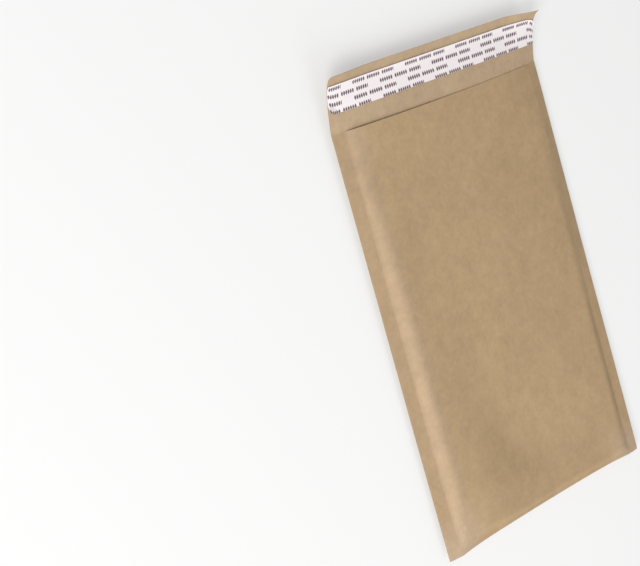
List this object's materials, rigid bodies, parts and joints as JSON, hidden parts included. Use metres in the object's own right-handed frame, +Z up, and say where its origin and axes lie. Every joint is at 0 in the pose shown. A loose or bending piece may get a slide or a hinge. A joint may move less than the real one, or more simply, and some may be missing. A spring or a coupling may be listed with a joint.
{
  "type": "padded envelope",
  "caption": "Open, empty kraft bubble-lined envelope lying on its back, with sealed side margins, a pocket, and a raised closing flap that carries a release strip over its adhesive.",
  "frame": {"origin": "the middle of the flat of the back panel, on the surface the envelope rests on: halfway between the side edges, and halfway along the body from the bottom corners to the flap's crease", "axes": "+X across the envelope, +Y along it from the bottom fold to the flap, +Z up out of the front panel"},
  "size_m": [0.216, 0.3421, 0.0215],
  "materials": {
    "kraft_paper": "matt brown kraft paper, faintly mottled, with short fibres and a fine grain along the envelope",
    "bubble_film": "thin clear polyethylene bubble film, glossy, slightly milky where layers lie over each other",
    "adhesive": "tacky pressure-sensitive adhesive, pale amber and glossy",
    "liner_paper": "white siliconed paper with a soft sheen"
  },
  "bodies": {
    "root": {"kraft_shell": "kraft_paper", "bubble_lining": "bubble_film", "adhesive_strip": "adhesive", "release_liner": "liner_paper"}
  },
  "joints": []
}
